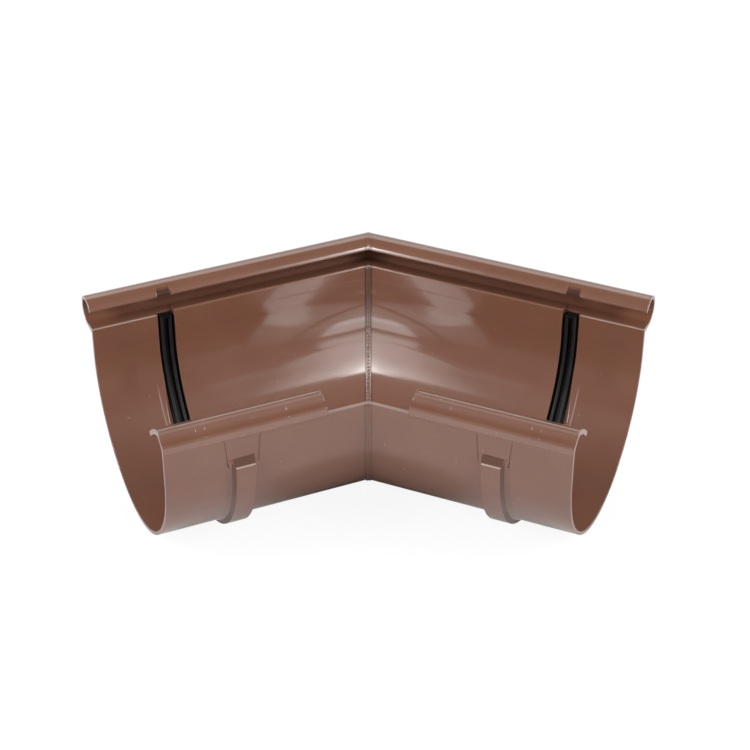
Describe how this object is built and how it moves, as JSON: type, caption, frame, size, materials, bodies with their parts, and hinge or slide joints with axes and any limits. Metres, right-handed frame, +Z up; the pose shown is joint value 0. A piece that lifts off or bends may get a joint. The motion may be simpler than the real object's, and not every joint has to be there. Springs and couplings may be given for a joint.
{
  "type": "gutter external corner",
  "caption": "Moulded half-round roof gutter corner that turns outwards, with a rolled front bead, hooked rear rims and a sealed socket at each end.",
  "frame": {"origin": "centre of the bounding box, on the floor that the corner stands on", "axes": "+Z up, +X along the width from the left arm to the right arm, +Y away from the building towards the outer bead"},
  "size_m": [0.2998, 0.1902, 0.0996],
  "materials": {
    "brown_plastic": "glossy moulded plastic",
    "black_rubber": "smooth extruded rubber"
  },
  "bodies": {
    "root": {"left_arm": "brown_plastic", "right_arm": "brown_plastic", "left_seal": "black_rubber", "right_seal": "black_rubber"}
  },
  "joints": []
}
